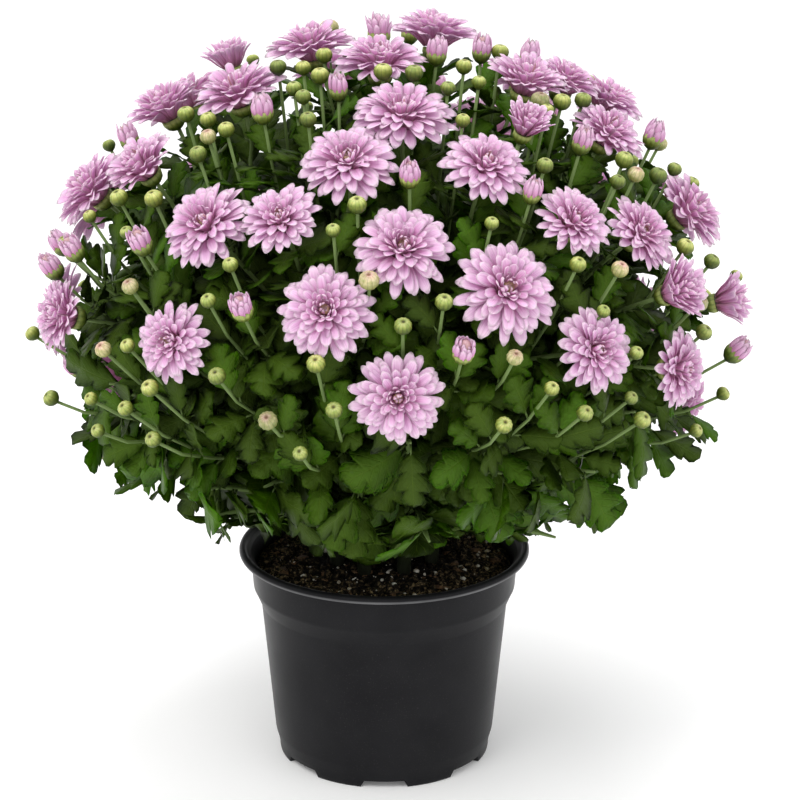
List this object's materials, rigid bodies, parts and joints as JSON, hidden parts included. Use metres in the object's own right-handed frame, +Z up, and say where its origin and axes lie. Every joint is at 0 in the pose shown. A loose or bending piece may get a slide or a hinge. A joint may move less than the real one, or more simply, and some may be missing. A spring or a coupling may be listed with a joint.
{
  "type": "pot chrysanthemum",
  "caption": "Mounded pot chrysanthemum with double mauve-pink blooms, half-open and green buds and lobed leaves on leafy stems, in a black plastic nursery pot of soil.",
  "frame": {"origin": "middle of the pot's foot, on the plane that it stands on", "axes": "+Z up along the pot's axis, the pictured front faces -Y"},
  "size_m": [0.389, 0.3857, 0.4205],
  "materials": {
    "pot_plastic": "satin black blow-moulded nursery pot",
    "soil_peat": "dark crumbly peat with perlite and bark",
    "leaf_green": "soft matt leaf green with paler stalks",
    "petal_pink": "soft mauve-pink petals, paler at the tips"
  },
  "bodies": {
    "root": {"bloom_01": "petal_pink", "bloom_02": "petal_pink", "bloom_03": "petal_pink", "bloom_04": "petal_pink", "bloom_05": "petal_pink", "bloom_06": "petal_pink", "bloom_07": "petal_pink", "bloom_08": "petal_pink", "bloom_09": "petal_pink", "bloom_10": "petal_pink", "bloom_11": "petal_pink", "bloom_12": "petal_pink", "bloom_13": "petal_pink", "bloom_14": "petal_pink", "bloom_15": "petal_pink", "bloom_16": "petal_pink", "bloom_17": "petal_pink", "bloom_18": "petal_pink", "bloom_19": "petal_pink", "bloom_20": "petal_pink", "bloom_21": "petal_pink", "bloom_22": "petal_pink", "bloom_23": "petal_pink", "bloom_24": "petal_pink", "bloom_25": "petal_pink", "bloom_26": "petal_pink", "bloom_27": "petal_pink", "bloom_28": "petal_pink", "bloom_29": "petal_pink", "bloom_30": "petal_pink", "bloom_31": "petal_pink", "bloom_32": "petal_pink", "bloom_33": "petal_pink", "bloom_34": "petal_pink", "bloom_35": "petal_pink", "bloom_36": "petal_pink", "bloom_37": "petal_pink", "bloom_38": "petal_pink", "bloom_39": "petal_pink", "bloom_40": "petal_pink", "bloom_41": "petal_pink", "bloom_42": "petal_pink", "bloom_43": "petal_pink", "bloom_44": "petal_pink", "bloom_45": "petal_pink", "bloom_46": "petal_pink", "bloom_47": "petal_pink", "bloom_48": "petal_pink", "leafy_stem_1": "leaf_green", "leafy_stem_2": "leaf_green", "leafy_stem_3": "leaf_green", "leafy_stem_4": "leaf_green", "leafy_stem_5": "leaf_green", "leafy_stem_6": "leaf_green", "leafy_stem_7": "leaf_green", "leafy_stem_8": "leaf_green", "leafy_stem_9": "leaf_green", "pot": "pot_plastic", "soil": "soil_peat"}
  },
  "joints": []
}
